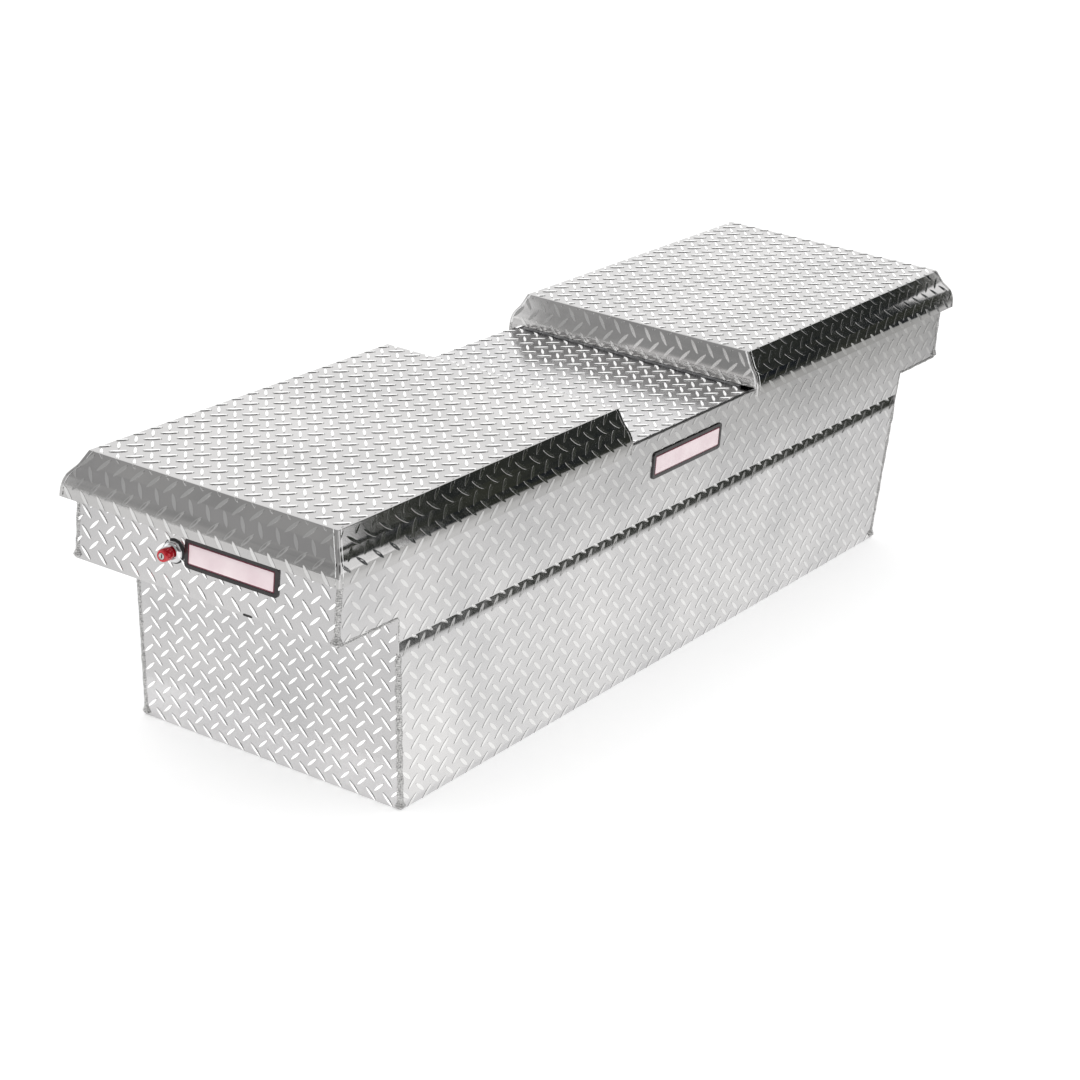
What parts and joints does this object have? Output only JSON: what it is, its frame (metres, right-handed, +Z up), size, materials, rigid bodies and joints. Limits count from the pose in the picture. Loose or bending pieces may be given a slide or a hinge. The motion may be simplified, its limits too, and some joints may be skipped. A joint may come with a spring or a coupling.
{
  "type": "crossover truck tool box",
  "caption": "Crossover truck tool box in tread plate: a deep tub with two wings that rest on the bed rails, gull-wing lids hinged at a fixed centre panel, and a push-button lock at each end.",
  "frame": {"origin": "on the floor under the middle of the box", "axes": "+X towards the right wing, -Y towards the front with the belt line, +Z up"},
  "size_m": [1.872, 0.488, 0.47],
  "materials": {
    "tread_plate": "polished tread plate",
    "lid_plate": "polished tread plate",
    "weld_metal": "as welded, matte",
    "seal_rubber": "matte",
    "gasket": "matte",
    "lock_chrome": "polished",
    "button_red": "glossy red",
    "key_metal": "satin",
    "badge": "dark frame with a pale blank field",
    "strut_black": "satin black",
    "strut_chrome": "polished",
    "plain_sheet": "mill finish",
    "hinge_steel": "satin",
    "zinc_steel": "zinc plated"
  },
  "bodies": {
    "box": {"front_panel": "tread_plate", "rear_panel": "tread_plate", "floor_panel": "tread_plate", "drain_plugs": "seal_rubber", "centre_top_panel": "tread_plate", "centre_stiffener": "plain_sheet", "wing_corner_welds": "weld_metal", "tub_corner_welds": "weld_metal", "hinge_rivets": "hinge_steel", "front_badge_plate": "badge", "left_badge_plate": "badge", "left_wing_end_panel": "tread_plate", "left_wing_floor": "tread_plate", "left_tub_end_panel": "tread_plate", "left_rain_gutter": "plain_sheet", "left_lid_seal": "seal_rubber", "left_hinge_frame_leaf": "hinge_steel", "left_hinge_pin": "hinge_steel", "left_lock_gasket": "gasket", "left_lock_housing": "lock_chrome", "left_lock_nut": "zinc_steel", "left_latch_bracket": "zinc_steel", "left_strut_bracket": "zinc_steel", "right_badge_plate": "badge", "right_wing_end_panel": "tread_plate", "right_wing_floor": "tread_plate", "right_tub_end_panel": "tread_plate", "right_rain_gutter": "plain_sheet", "right_lid_seal": "seal_rubber", "right_hinge_frame_leaf": "hinge_steel", "right_hinge_pin": "hinge_steel", "right_lock_gasket": "gasket", "right_lock_housing": "lock_chrome", "right_lock_nut": "zinc_steel", "right_latch_bracket": "zinc_steel", "right_strut_bracket": "zinc_steel"},
    "left_lid": {"left_lid_shell": "lid_plate", "left_lid_pan": "plain_sheet", "left_lid_stiffeners": "plain_sheet", "left_hinge_lid_leaf": "hinge_steel", "left_striker": "zinc_steel", "left_strut_lid_bracket": "zinc_steel"},
    "left_button": {"left_push_button": "button_red"},
    "left_key": {"left_key_cylinder": "key_metal"},
    "left_hook": {"left_latch_hook": "zinc_steel"},
    "left_lever": {"left_release_lever": "zinc_steel"},
    "left_strut_tube": {"left_strut_cylinder": "strut_black"},
    "left_strut_shaft": {"left_strut_rod": "strut_chrome"},
    "right_lid": {"right_lid_shell": "lid_plate", "right_lid_pan": "plain_sheet", "right_lid_stiffeners": "plain_sheet", "right_hinge_lid_leaf": "hinge_steel", "right_striker": "zinc_steel", "right_strut_lid_bracket": "zinc_steel"},
    "right_button": {"right_push_button": "button_red"},
    "right_key": {"right_key_cylinder": "key_metal"},
    "right_hook": {"right_latch_hook": "zinc_steel"},
    "right_lever": {"right_release_lever": "zinc_steel"},
    "right_strut_tube": {"right_strut_cylinder": "strut_black"},
    "right_strut_shaft": {"right_strut_rod": "strut_chrome"}
  },
  "joints": [
    {"name": "left_lid_hinge", "type": "hinge", "parent": "box", "child": "left_lid", "pos_m": [-0.1933, 0, 0.4115], "axis": [0, 1, 0], "range_deg": [0, 75]},
    {"name": "left_button_push", "type": "slide", "parent": "box", "child": "left_button", "axis": [1, 0, 0], "range_m": [0, 0.006], "stiffness_N_per_m": 600, "springref_m": -0.002},
    {"name": "left_key_turn", "type": "hinge", "parent": "left_button", "child": "left_key", "pos_m": [-0.93, 0.052, 0.367], "axis": [-1, 0, 0], "range_deg": [0, 90]},
    {"name": "left_hook_swing", "type": "hinge", "parent": "box", "child": "left_hook", "pos_m": [-0.815, 0.052, 0.362], "axis": [0, 1, 0], "range_deg": [0, 48]},
    {"name": "left_lever_swing", "type": "hinge", "parent": "box", "child": "left_lever", "pos_m": [-0.872, 0.052, 0.33], "axis": [0, 1, 0], "range_deg": [0, 9.3]},
    {"name": "left_strut_turn", "type": "hinge", "parent": "box", "child": "left_strut_tube", "pos_m": [-0.2533, 0.195, 0.2015], "axis": [0, 1, 0], "range_deg": [0, 29.7]},
    {"name": "left_strut_slide", "type": "slide", "parent": "left_strut_tube", "child": "left_strut_shaft", "axis": [-0.4894, 0, 0.8721], "range_m": [0, 0.14593]},
    {"name": "right_lid_hinge", "type": "hinge", "parent": "box", "child": "right_lid", "pos_m": [0.1933, 0, 0.4115], "axis": [0, -1, 0], "range_deg": [0, 75]},
    {"name": "right_button_push", "type": "slide", "parent": "box", "child": "right_button", "axis": [-1, 0, 0], "range_m": [0, 0.006], "stiffness_N_per_m": 600, "springref_m": -0.002},
    {"name": "right_key_turn", "type": "hinge", "parent": "right_button", "child": "right_key", "pos_m": [0.93, 0.052, 0.367], "axis": [1, 0, 0], "range_deg": [0, 90]},
    {"name": "right_hook_swing", "type": "hinge", "parent": "box", "child": "right_hook", "pos_m": [0.815, 0.052, 0.362], "axis": [0, -1, 0], "range_deg": [0, 48]},
    {"name": "right_lever_swing", "type": "hinge", "parent": "box", "child": "right_lever", "pos_m": [0.872, 0.052, 0.33], "axis": [0, -1, 0], "range_deg": [0, 9.3]},
    {"name": "right_strut_turn", "type": "hinge", "parent": "box", "child": "right_strut_tube", "pos_m": [0.2533, 0.195, 0.2015], "axis": [0, -1, 0], "range_deg": [0, 29.7]},
    {"name": "right_strut_slide", "type": "slide", "parent": "right_strut_tube", "child": "right_strut_shaft", "axis": [0.4894, 0, 0.8721], "range_m": [0, 0.14593]}
  ],
  "couplings": [
    {"joint": "left_lever_swing", "follows": "left_button_push", "rad_per_m": 27.027},
    {"joint": "left_strut_turn", "follows": "left_lid_hinge", "ratio": 0.3958},
    {"joint": "left_strut_slide", "follows": "left_lid_hinge", "m_per_rad": 0.11141},
    {"joint": "right_lever_swing", "follows": "right_button_push", "rad_per_m": 27.027},
    {"joint": "right_strut_turn", "follows": "right_lid_hinge", "ratio": 0.3958},
    {"joint": "right_strut_slide", "follows": "right_lid_hinge", "m_per_rad": 0.11141}
  ]
}
